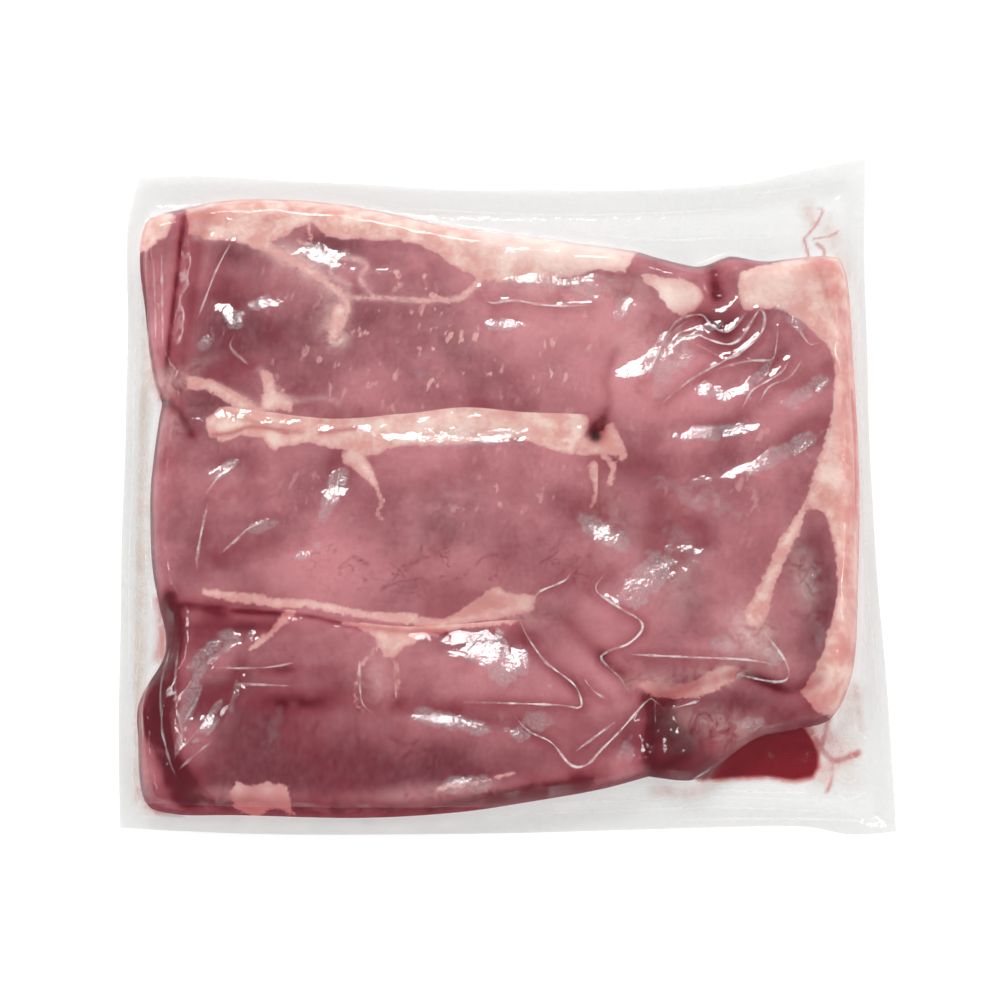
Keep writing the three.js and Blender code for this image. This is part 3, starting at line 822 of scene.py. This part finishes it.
def lean_colour(s, cloud, broad):
    """The colour of the lean meat: blotches, grain, short pale flecks, thin dark cracks, and some painted
    shade and sheen.
    """
    shade = s.math("ADD", s.math("MULTIPLY_ADD", s.noise(26, 3, 0.5), 1.1, -0.55), s.attribute("shade"))
    calm = s.ramp(shade, -0.3, 0.7, 1.0, 0.3)
    mottle = s.noise(5, 4, 0.55)
    fine = s.noise(1.7, 3, 0.6)
    grain = s.noise(1, 3, 0.6, place=s.stretched((900, 330, 500), (0, 0, 12)))
    flecks = s.ramp(s.noise(1, 2, 0.5, place=s.stretched((300, 150, 240), (0, 0, 14))), 0.60, 0.68)
    flecks = s.times(s.times(flecks, s.ramp(broad, 0.58, 0.40)), s.attribute("fleck"))
    wobble = s.node("TexNoise", {"Vector": s.place, "Scale": 260.0, "Detail": 1.0})
    crack_place = s.out("MixRGB", {"Fac": 0.012, "Color1": s.place, "Color2": wobble.outputs["Color"]})
    cells = s.node("TexVoronoi", {"Vector": crack_place, "Scale": 95.0},
                   feature="DISTANCE_TO_EDGE").outputs["Distance"]
    cracks = s.times(s.ramp(cells, 0.07, 0.0), s.ramp(cloud, 0.48, 0.6))
    cracks = s.times(cracks, s.times(s.attribute("crack"), 0.55))
    slit = s.times(s.attribute("slit"), s.ramp(mottle, 0.35, 0.6, 0, 0.8))
    return s.layers(
        s.mix(s.ramp(shade, -0.6, 0.85), srgb(207, 137, 144), srgb(113, 51, 62)),
        (s.times(s.ramp(mottle, 0.42, 0.75, 0, 0.34), calm), srgb(206, 134, 142)),
        (s.times(s.ramp(fine, 0.45, 0.75, 0, 0.2), calm), srgb(216, 148, 152)),
        (s.ramp(fine, 0.5, 0.25, 0, 0.12), srgb(124, 40, 54)),
        (s.ramp(grain, 0.35, 0.75, 0, 0.10), srgb(206, 146, 148)),
        (s.ramp(broad, 0.54, 0.72, 0, 0.3), srgb(140, 36, 54)),
        (s.times(flecks, 0.9), srgb(226, 176, 172)),
        (s.math("MAXIMUM", cracks, slit), srgb(112, 32, 48)),
    )


def fat_colour(s, torn, cloud, depth, blood_and_painted_shade):
    """The colour of the fat: cream, pinker at its edges and near the steak's rim, and red where blood lies
    and where shade is painted.
    """
    cream = s.mix(s.ramp(cloud, 0.35, 0.65), srgb(219, 163, 154), srgb(238, 210, 199))
    cream = s.mix(s.ramp(torn, 0.5, 0.8, 0, 0.6), cream, srgb(210, 134, 130))
    tone = s.attribute("tone")
    return s.layers(
        s.mix(s.ramp(depth, 0.0, 2.4), srgb(218, 166, 162), cream),
        (s.ramp(tone, 0.0, 1.0, 0, 0.7), srgb(246, 228, 219)),
        (s.ramp(tone, 0.0, -1.0, 0, 0.62), srgb(182, 122, 124)),
        (s.attribute("margin"), srgb(196, 96, 98)),
        (s.times(blood_and_painted_shade, 0.7), srgb(168, 50, 62)),
    )


def meat_material():
    """Raw beef: lean meat and fat with a ragged edge between them, blood with painted shade, pale skin with
    painted sheen, and the dark hole where steaks meet, in painted shade.
    """
    s = Shader("raw_beef")
    torn = s.noise(7, 5, 0.7, 0.6)
    cloud = s.noise(9, 4, 0.6)
    broad = s.noise(17, 3, 0.6)
    ragged = s.math("MULTIPLY_ADD", s.noise(3.6, 5, 0.8), 5.2, -2.6)
    depth = s.math("ADD", s.attribute("fat"), ragged)
    fat = s.ramp(depth, -0.45, 0.5)
    # Blood red, darker with painted shade in the folds, seams and hollows, beside creases and along the near
    # wall
    blood_and_painted_shade = s.times(s.attribute("blood_and_painted_shade"), s.ramp(cloud, 0.15, 0.6, 0.68, 1.1))
    deep_red_of_blood_and_shade = s.mix(s.ramp(blood_and_painted_shade, 0.4, 1.1), srgb(138, 34, 52), srgb(98, 14, 30))
    meat = s.mix(s.math("MINIMUM", blood_and_painted_shade, 0.97), lean_colour(s, cloud, broad), deep_red_of_blood_and_shade)
    # Whitish skin, with painted sheen in some spots
    skin_and_painted_sheen = s.times(s.attribute("skin_and_painted_sheen"), s.ramp(torn, 0.28, 0.62))
    colour = s.layers(
        s.mix(fat, meat, fat_colour(s, torn, cloud, depth, blood_and_painted_shade)),
        # Near-black painted shade in the pit where the steaks meet and in steak C's fold, and the dark tail
        # of steak D
        (s.attribute("painted_shade_in_pit_and_folds"), srgb(62, 20, 27)),
        (s.times(skin_and_painted_sheen, s.math("SUBTRACT", 1.0, fat)), srgb(222, 186, 182)),
    )
    return s.finish(s.out("BsdfPrincipled", {
        "Base Color": colour, "Roughness": 0.5, "Specular IOR Level": 0.08,
        "Normal": s.bump(s.noise(3, 1, 0.6), 0.3)}))


def film_material(name, gloss_share):
    """Clear film that mirrors gloss_share of the light where it is seen square on, and more at a slant,
    milky on the flange, with painted sheen where it is crumpled.
    """
    s = Shader(name)
    crumple, flange = s.attribute("crumple"), s.attribute("flange")
    grain = s.times(s.noise(1.3, 2, 0.8), s.ramp(crumple, 0.05, 0.8, 0.4, 4.0))
    normal = s.bump(s.math("MULTIPLY_ADD", grain, 0.35, s.noise(2.6, 1, 0.5)), 0.10)
    slant = s.node("LayerWeight", {"Blend": 0.5}).outputs["Facing"]
    fleck = s.noise(1.0, 3, 0.8)
    speckle = s.ramp(fleck, 0.36, 0.62, s.ramp(crumple, 0.0, 0.7, 0.75, 0.3), 1.3)
    square_on = s.times(s.times(s.attribute("gloss"), speckle), gloss_share)
    mirror = s.math("ADD", s.times(s.math("POWER", slant, 5.0), 0.6), square_on)
    tint = s.layers(
        (0.972, 0.970, 0.968, 1),
        (flange, (0.950, 0.950, 0.948, 1)),
        (s.attribute("seal"), (0.905, 0.904, 0.90, 1)),
    )
    clear = s.out("BsdfTransparent", {"Color": tint})
    sharp, soft = (s.out("BsdfGlossy", {"Color": WHITE, "Roughness": roughness, "Normal": normal})
                   for roughness in (s.ramp(crumple, 0.1, 0.8, 0.08, 0.125), 0.42))
    milk_and_sheen_white = s.out("BsdfDiffuse", {"Color": (0.86, 0.87, 0.87, 1)})
    # Painted sheen: milky white where the film is crumpled, in place of its glare
    sheen = s.times(s.ramp(crumple, 0.1, 1.0, 0.0, 0.2), s.ramp(fleck, 0.36, 0.66, 0.2, 1))
    milk_and_painted_sheen = s.math("ADD", s.ramp(flange, 0.0, 1.0, 0.005, 0.07), sheen)
    return s.finish(s.blend(milk_and_painted_sheen, s.blend(mirror, clear, s.blend(0.15, sharp, soft)), milk_and_sheen_white))


def fold_material():
    """A thin pale ridge of film, clear wherever its fold doesn't show; its paleness is partly painted
    highlight.
    """
    s = Shader("film_fold")
    # Pale folded film, partly a painted highlight along the fold
    pale = s.out("BsdfDiffuse", {"Color": (0.97, 0.90, 0.89, 1)})
    gloss = s.out("BsdfGlossy", {"Color": WHITE, "Roughness": 0.25})
    cover = s.times(s.attribute("show"), s.ramp(s.noise(6, 4, 0.65), 0.36, 0.64, 0.2, 1.3))
    return s.finish(s.blend(cover, s.out("BsdfTransparent"), s.blend(0.05, pale, gloss)))


def juice_material():
    """Juice from a faint smear to a deep red pool, clear where there is none."""
    s = Shader("meat_juice")
    deep = s.attribute("red")
    tint = s.mix(s.ramp(deep, 0.0, 0.4), srgb(236, 216, 202), srgb(222, 128, 122))
    tint = s.mix(s.ramp(deep, 0.4, 0.95), tint, srgb(132, 2, 28))
    patchy = s.ramp(s.noise(6, 4, 0.6), 0.3, 0.7, 0.55, 1.2)
    cover = s.math("MINIMUM", s.times(s.attribute("cover"), patchy), 0.97)
    wet = s.out("BsdfPrincipled", {"Base Color": tint, "Roughness": 0.3, "Specular IOR Level": 0.08})
    return s.finish(s.blend(cover, s.out("BsdfTransparent"), wet))


POOL = [(70, -112), (78, -107), (86, -102), (94, -96), (106, -90), (116, -90), (121, -97), (124, -104),
        (123.5, -110), (121, -114.5), (113, -116), (102, -114.5), (90, -115), (78, -116)]
POOL_DEPTH = smoothstep(-1.2, 3.0, signed(POOL, 8))


def make_film(material, back_material):
    """The top film, drawn over everything in the pouch, and the flat back film."""
    x, y, u, v = pouch_grid(FILM_STEP)
    z, opened = film_top_height(x, y, u, v)
    flange = (1 - smoothstep(-3, 2, sample(TO_EDGE, x, y))) * (1 - sample(POOL_DEPTH, x, y))
    top = make_piece("film_top", as_points(x, y, z), [grid_quads(*x.shape)], material,
                     {"flange": flange, "seal": 1 - opened, "crumple": sample(CRUMPLED, x, y),
                      "gloss": sample(GLOSS, x, y)})
    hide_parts(NODE)

    x, y, u, v = pouch_grid(BACK_STEP)
    flange = 1 - smoothstep(-3, 2, sample(TO_EDGE, x, y))
    make_piece("film_back", as_points(x, y, curl(u, v, x, y) + BACK_HEIGHT),
               [grid_quads(*x.shape, flip=True)], back_material,
               {"flange": flange, "gloss": np.ones(x.shape)})


# A fold's section, in five points: how far across, how high and how solid
FOLD_ACROSS = np.array([-1, -0.5, 0, 0.5, 1])
FOLD_PROFILE = np.array([0, 0.75, 1, 0.75, 0])
FOLD_COVER = np.array([0, 0.7, 1, 0.7, 0])
FOLD_LIFT = 0.12
FOLD_HEIGHT = 0.14


def fold_strip(line, half_width, seed):
    """A narrow standing fold along a line, uneven and tapering out at both ends, and its taper."""
    centre = spline(line, FOLD_STEP)
    wide = 0.9 + 0.45 * ridges(np.arange(len(centre)) - len(centre) / 2, 4, seed)[:, None]
    along = np.gradient(centre, axis=0)
    along /= np.linalg.norm(along, axis=1, keepdims=True)
    shares = np.linspace(0, 1, len(centre))
    taper = np.minimum(1, 5 * np.minimum(shares, 1 - shares))[:, None]
    offset = half_width * wide * (0.25 + 0.75 * taper) * FOLD_ACROSS
    x = centre[:, :1] - along[:, 1:] * offset
    y = centre[:, 1:] + along[:, :1] * offset
    z = film_top_height(x, y, *shares_at(x, y))[0] + FOLD_LIFT + FOLD_HEIGHT * taper * FOLD_PROFILE
    return as_points(x, y, z), taper


def make_folds(material):
    """The film's sharp folds, as thin pale ridges over the steaks and round them, partly painted highlight.
    """
    rows = [(line, 0.62, 0.14 + 0.34 * height) for height, _width, line in CREASES]
    rows += [(line, 0.60, 0.25) for line in FLANGE_FOLDS]
    points, faces, show, count = [], [], [], 0
    for number, (line, half_width, opacity) in enumerate(rows):
        strip, taper = fold_strip(line, half_width, SEED + 100 + number)
        points.append(strip)
        show.append((opacity * taper * FOLD_COVER).ravel())
        faces.append(grid_quads(len(taper), len(FOLD_ACROSS), start=count, flip=True))
        count += len(strip)
    make_piece("film_folds", np.vstack(points), [np.vstack(faces)], material,
               {"show": np.concatenate(show)})


def stations(length, step):
    """Shares along a side, closer together at both ends."""
    ends = np.array([0, 0.3, 0.7, 1.2, 1.9]) / length
    count = max(2, round(length * (1 - 2 * ends[-1]) / step))
    inner = np.linspace(ends[-1], 1 - ends[-1], count + 1)[1:-1]
    return np.concatenate([ends, inner, 1 - ends[::-1]])


def rim_of(rows, columns):
    """The border vertices of a grid, counterclockwise."""
    at = np.arange(rows * columns).reshape(rows, columns)
    return np.concatenate([at[0, :-1], at[:-1, -1], at[-1, :0:-1], at[:0:-1, 0]])


def outward(loop):
    """The outward direction at each point of a counterclockwise loop."""
    along = np.roll(loop, -3, axis=0) - np.roll(loop, 3, axis=0)
    normal = np.stack([along[:, 1], -along[:, 0]], axis=1)
    return normal / np.maximum(np.linalg.norm(normal, axis=1, keepdims=True), 1e-9)


RIM_REACH = 6
RIM_INSET = 2
RIM_DROP = 0.25
RIM_OUT = 0.1
TUCK = 2.2
FOOT = 0.45
WALL_TURNS = np.radians([18, 36, 54, 72, 90])


def steak_top(sides):
    """A steak's top close under the film: its points, its grid's shape, its rim and the way out from it."""
    length = [lengths(side)[-1] for side in sides]
    us = stations((length[0] + length[1]) / 2, STEAK_STEP)
    vs = stations((length[2] + length[3]) / 2, STEAK_STEP)
    grid = patch(*sides, us, vs)
    x, y = grid[..., 0], grid[..., 1]
    rim = rim_of(*x.shape)
    loop = grid.reshape(-1, 2)[rim]
    inset = np.clip(sample(signed(loop, RIM_REACH), x, y), 0, RIM_INSET)
    slack = sample(SLACK, x, y)
    z = FLANGE_HEIGHT + sample(CONTENT, x, y) + np.minimum(slack, 0.6 * slack)
    top = as_points(x, y, z - FILM_GAP - RIM_DROP * (1 - inset / RIM_INSET) ** 2)
    top[rim, :2] += RIM_OUT * outward(loop)
    return top, x.shape, rim, outward(loop)


def steak_walls(edge, out):
    """The rings of a steak's round side, from its rim down and in to its foot."""
    rings = []
    for turn in WALL_TURNS:
        ring = edge.copy()
        ring[:, :2] -= TUCK * (1 - math.cos(turn)) * out
        ring[:, 2] = FOOT + (edge[:, 2] - FOOT) * (1 - math.sin(turn))
        rings.append(ring)
    return rings


def underside(ring):
    """The triangles that close a ring of points, facing down."""
    base = np.array(tessellate_polygon([[(x, y, 0) for x, y, _ in ring]]))
    a, b, c = (ring[base[:, i], :2] for i in range(3))
    ab, ac = b - a, c - a
    up = ab[:, 0] * ac[:, 1] - ab[:, 1] * ac[:, 0] > 0
    base[up] = base[up][:, ::-1]
    return base


def make_steak(name, sides, material, rasters):
    """A closed steak: its top close under the film, round sides, and a flat underside."""
    top, shape, rim, out = steak_top(sides)
    walls = steak_walls(top[rim], out)
    points = np.vstack([top, *walls])
    faces, upper = [grid_quads(*shape)], rim
    for k in range(len(walls)):
        lower = len(top) + k * len(rim) + np.arange(len(rim))
        faces.append(np.stack([upper, lower, np.roll(lower, -1), np.roll(upper, -1)], axis=1))
        upper = lower
    faces.append(upper[0] + underside(walls[-1]))
    masks = {key: sample(field, points[:, 0], points[:, 1]) for key, field in rasters.items()}
    steak = make_piece(name, points, faces, material, masks)
    steak.data.set_sharp_from_angle(angle=math.radians(SHARP_ANGLE))


def make_steaks(material):
    """The four steaks, with the masks that lead their material."""
    # Painted shade on the meat beside each of the film's creases
    painted_shade_beside_creases = seep([(0.32 * height, 3.0, line) for height, _width, line in CREASES])
    # Fold A: red meat darkened with painted shade
    red_fold_with_painted_shade = 0.58 * smoothstep(-2.5, 2.0, signed(spline(FOLD_A_RED_AND_PAINTED_SHADE), 6))
    # Under the film's hollows: redder with juice and darker with painted shade
    juice_and_painted_shade_in_hollows = 0.35 * np.clip(-SLACK - 0.1, 0, 1)
    # Tail of steak D: dark meat, with painted shade in its fold
    dark_tail = smoothstep(-2.0, 3.0, signed(TAIL_DARK, 8))
    # Painted shade on the steaks' rim and sides, within 2.5 mm of their outline
    painted_shade_at_rim = 1 - smoothstep(0.5, 2.5, TO_EDGE)
    pink_edge = 1 - smoothstep(0.2, 3.0, TO_EDGE + 0.8 * rolling(5, SEED + 12))
    masks = {
        # Whitish skin over the meat, with painted sheen in some of the spots
        "skin_and_painted_sheen": np.clip(spots(SKIN_AND_PAINTED_SHEEN_SPOTS) + seep(VEIL_LINES), 0, 1),
        # Blood, with painted shade in folds, seams, hollows, beside creases and along the near wall
        "blood_and_painted_shade": np.clip(seep(BLOOD_AND_PAINTED_SHADE_LINES) + spots(BLOOD_AND_PAINTED_SHADE_SPOTS) + painted_shade_beside_creases + red_fold_with_painted_shade + juice_and_painted_shade_in_hollows, 0, 1),
        # Painted shade and sheen in the spots, in the film's hollows and ridges and at the rim, over the
        # meat's own tone
        "shade": spots(SHADE_SPOTS) - 0.25 * np.clip(SLACK, -1, 1) + 1.4 * dark_tail + 0.9 * painted_shade_at_rim,
        # Painted shade in the pit, in steak C's fold and in the tail of steak D
        "painted_shade_in_pit_and_folds": np.maximum(bell(FROM_PIT**2), np.maximum(0.4 * dark_tail, seep([(0.38, 4.0, FOLD_C)]))),
        "crack": np.clip(spots(CRACK_SPOTS), 0, 1),
        "slit": seep(CRACK_LINES),
        "fleck": np.clip(spots(FLECK_SPOTS), 0, 1),
        "tone": spots(TONE_SPOTS),
        "margin": np.maximum(0.4 * pink_edge, seep([(0.4, 4.6, SALMON_EDGE)])),
    }
    for steak, sides in STEAKS.items():
        make_steak("steak_" + steak, sides, material, {**masks, "fat": fat_raster(steak)})


# Thin juice between the films: cover, width, redness and points
JUICE_LINES = [
    (0.95, 1.3, 0.6, [(118, -92), (123, -101), (128, -107), (136, -105), (138, -104)]),
    (0.9, 1.2, 0.6, [(127, -91), (124, -101)]), (0.8, 0.7, 0.5, [(128, -107), (127, -115), (125, -119)]),
    (0.5, 5.0, 0.25, [(112, -96), (124, -96), (130, -104), (124, -112)]),
    (0.4, 2.0, 0.2, [(137.5, -79), (138.5, -86), (139, -95)]),
    (0.35, 5.0, 0.05, [(136, -84), (134, -98), (134, -112)]),
    (0.8, 0.5, 0.4, [(124, 103), (129, 109), (132, 115), (130, 116)]),
    (0.35, 3.0, 0.2, [(128, 110), (126, 116)]), (0.8, 0.45, 0.4, [(128, 103), (134, 104), (138, 106)]),
    (0.8, 0.6, 0.4, [(124, 103), (125, 98), (126, 93)]),
    (0.8, 0.6, 0.4, [(129, 101), (132, 98), (131, 93)]),
    (0.3, 4.0, 0.15, [(134, 108), (138, 98), (140, 88)]),
    (0.6, 3.0, 0.0, [(-139, 46), (-142, 33), (-141, 0), (-140, -46), (-139, -76), (-138, -120)]),
    (0.45, 2.0, 0.02, [(-146, 40), (-146, 0), (-144, -60), (-142, -120)]),
    (0.85, 3.0, 0.4, [(-131, -46), (-129, -57), (-130, -67)]),
    (0.6, 3.0, 0.2, [(-134, -112), (-133, -124)]), (0.35, 3.0, 0.12, [(-145, 96), (-144, 70), (-141, 46)]),
    (0.6, 1.6, 0.45, [(-140, 70), (-136, 45), (-134, 36)]),
    (0.7, 1.4, 0.5, [(-136, -118), (-130, -126), (-120, -129)]),
    (0.35, 2.4, 0.3, [(60, -118), (74, -119), (84, -114)]),
]


def make_juice(material):
    """Red juice in the corner between the films, and thin smears of it round the steaks."""
    x, y, u, v = pouch_grid(JUICE_STEP)
    red = sample(POOL_DEPTH, x, y)
    cover = 1.6 * red
    for strength, width, redness, line in JUICE_LINES:
        thin = sample(seep([(strength, width, line)]), x, y)
        red = np.maximum(red, redness * np.minimum(1, 2.5 * thin))
        cover = np.maximum(cover, thin)
    cover *= smoothstep(-0.5, 1.5, to_edges(u, v)[1]) * (1 - smoothstep(1.5, 3.5, sample(TO_EDGE, x, y)))
    points = as_points(x, y, curl(u, v, x, y) + JUICE_HEIGHT)
    quads = grid_quads(*x.shape)
    kept = quads[cover.ravel()[quads].max(axis=1) > THINNEST_JUICE]
    used, kept = np.unique(kept, return_inverse=True)
    make_piece("meat_juice", points[used], [kept.reshape(-1, 4)], material,
               {"cover": cover.ravel()[used], "red": red.ravel()[used]})


FLOOR_HALF = 3.0
FLOOR_GLOW = 0.38


def make_floor():
    """A pale matt floor with a slight glow of its own, like a light table."""
    mesh = bpy.data.meshes.new("floor")
    corners = [(-1, -1), (1, -1), (1, 1), (-1, 1)]
    mesh.from_pydata([(x * FLOOR_HALF, y * FLOOR_HALF, 0) for x, y in corners], [], [(0, 1, 2, 3)])
    s = Shader("floor_white")
    matt = s.out("BsdfDiffuse", {"Color": (0.70, 0.70, 0.70, 1)})
    glow = s.out("Emission", {"Color": WHITE, "Strength": FLOOR_GLOW})
    mesh.materials.append(s.finish(s.out("AddShader", {0: matt, 1: glow})))
    floor = add_object("floor", mesh)


CAMERA_TILT = 12.0
CAMERA_DISTANCE = 0.740
CAMERA_AIM = (0.00075, -0.0052)
CAMERA_LENS = 67.68


def make_camera():
    """The photograph's camera: above the pack, tilted a little from the near side."""
    camera = bpy.data.cameras.new("camera")
    camera.lens = CAMERA_LENS
    camera.clip_start = 0.05
    seat = add_object("camera", camera)
    tilt = math.radians(CAMERA_TILT)
    seat.location = (CAMERA_AIM[0], CAMERA_AIM[1] - CAMERA_DISTANCE * math.sin(tilt),
                     CAMERA_DISTANCE * math.cos(tilt))
    seat.rotation_euler = (tilt, 0, 0)
    bpy.context.scene.camera = seat


# Soft boxes round the table, in metres: direction, lean from upright, width, height and radiance
SOFT_BOXES = [(98, 42, 0.50, 0.26, 14), (178, 48, 0.24, 0.16, 9), (8, 48, 0.24, 0.16, 9)]
SOFT_BOXES += [(direction, 60, 0.40, 0.10, 5) for direction in (22.5, 157.5, 202.5, 337.5)]
BOX_DISTANCE = 1.4
SKY = 0.95


def make_lights():
    """A white sky that no mirror shows, and the soft boxes, all aimed at the pack."""
    world = bpy.data.worlds.new("studio")
    world.use_nodes = True
    world.node_tree.nodes["Background"].inputs["Color"].default_value = WHITE
    world.node_tree.nodes["Background"].inputs["Strength"].default_value = SKY
    world.cycles_visibility.glossy = False
    bpy.context.scene.world = world
    for direction, lean, width, height, radiance in SOFT_BOXES:
        lamp = bpy.data.lights.new("soft_box", "AREA")
        lamp.shape = "RECTANGLE"
        lamp.size, lamp.size_y = width, height
        lamp.energy = radiance * math.pi * width * height
        seat = add_object("soft_box", lamp)
        turn, lean = math.radians(direction), math.radians(lean)
        aside = BOX_DISTANCE * math.sin(lean)
        seat.location = (aside * math.cos(turn), aside * math.sin(turn), BOX_DISTANCE * math.cos(lean))
        seat.rotation_euler = (lean, 0, turn + math.pi / 2)


make_camera()
make_lights()
make_floor()
make_film(film_material("pouch_film", FILM_GLOSS), film_material("pouch_film_back", BACK_GLOSS))
make_steaks(meat_material())
make_folds(fold_material())
make_juice(juice_material())

bpy.context.scene.view_settings.view_transform = "Standard"
